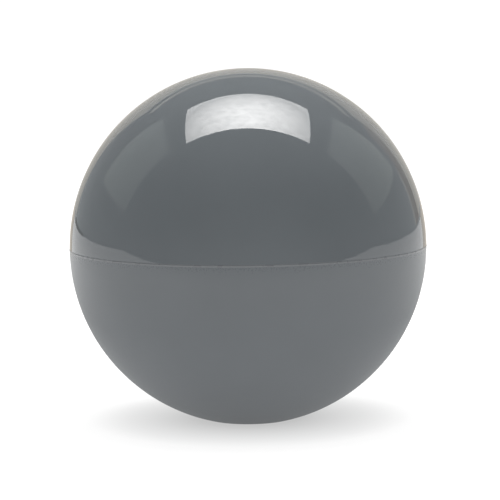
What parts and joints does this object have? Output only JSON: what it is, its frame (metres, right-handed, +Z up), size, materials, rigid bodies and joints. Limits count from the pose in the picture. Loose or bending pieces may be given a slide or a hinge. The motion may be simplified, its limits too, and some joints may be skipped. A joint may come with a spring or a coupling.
{
  "type": "ball knob",
  "caption": "Round joystick ball knob in glossy grey plastic with a fine parting line round its middle, a small flat foot and a threaded brass insert underneath.",
  "frame": {"origin": "centre of the small flat foot under the ball, on the axis of the thread", "axes": "+Z up along the axis of the thread, from the foot to the top of the ball; the ball is round about it"},
  "size_m": [0.035, 0.035, 0.0345],
  "materials": {
    "ball_gloss": "gloss",
    "core_plastic": "matte",
    "insert_brass": "satin"
  },
  "bodies": {
    "root": {"outer_ball": "ball_gloss", "inner_core": "core_plastic", "threaded_insert": "insert_brass"}
  },
  "joints": []
}
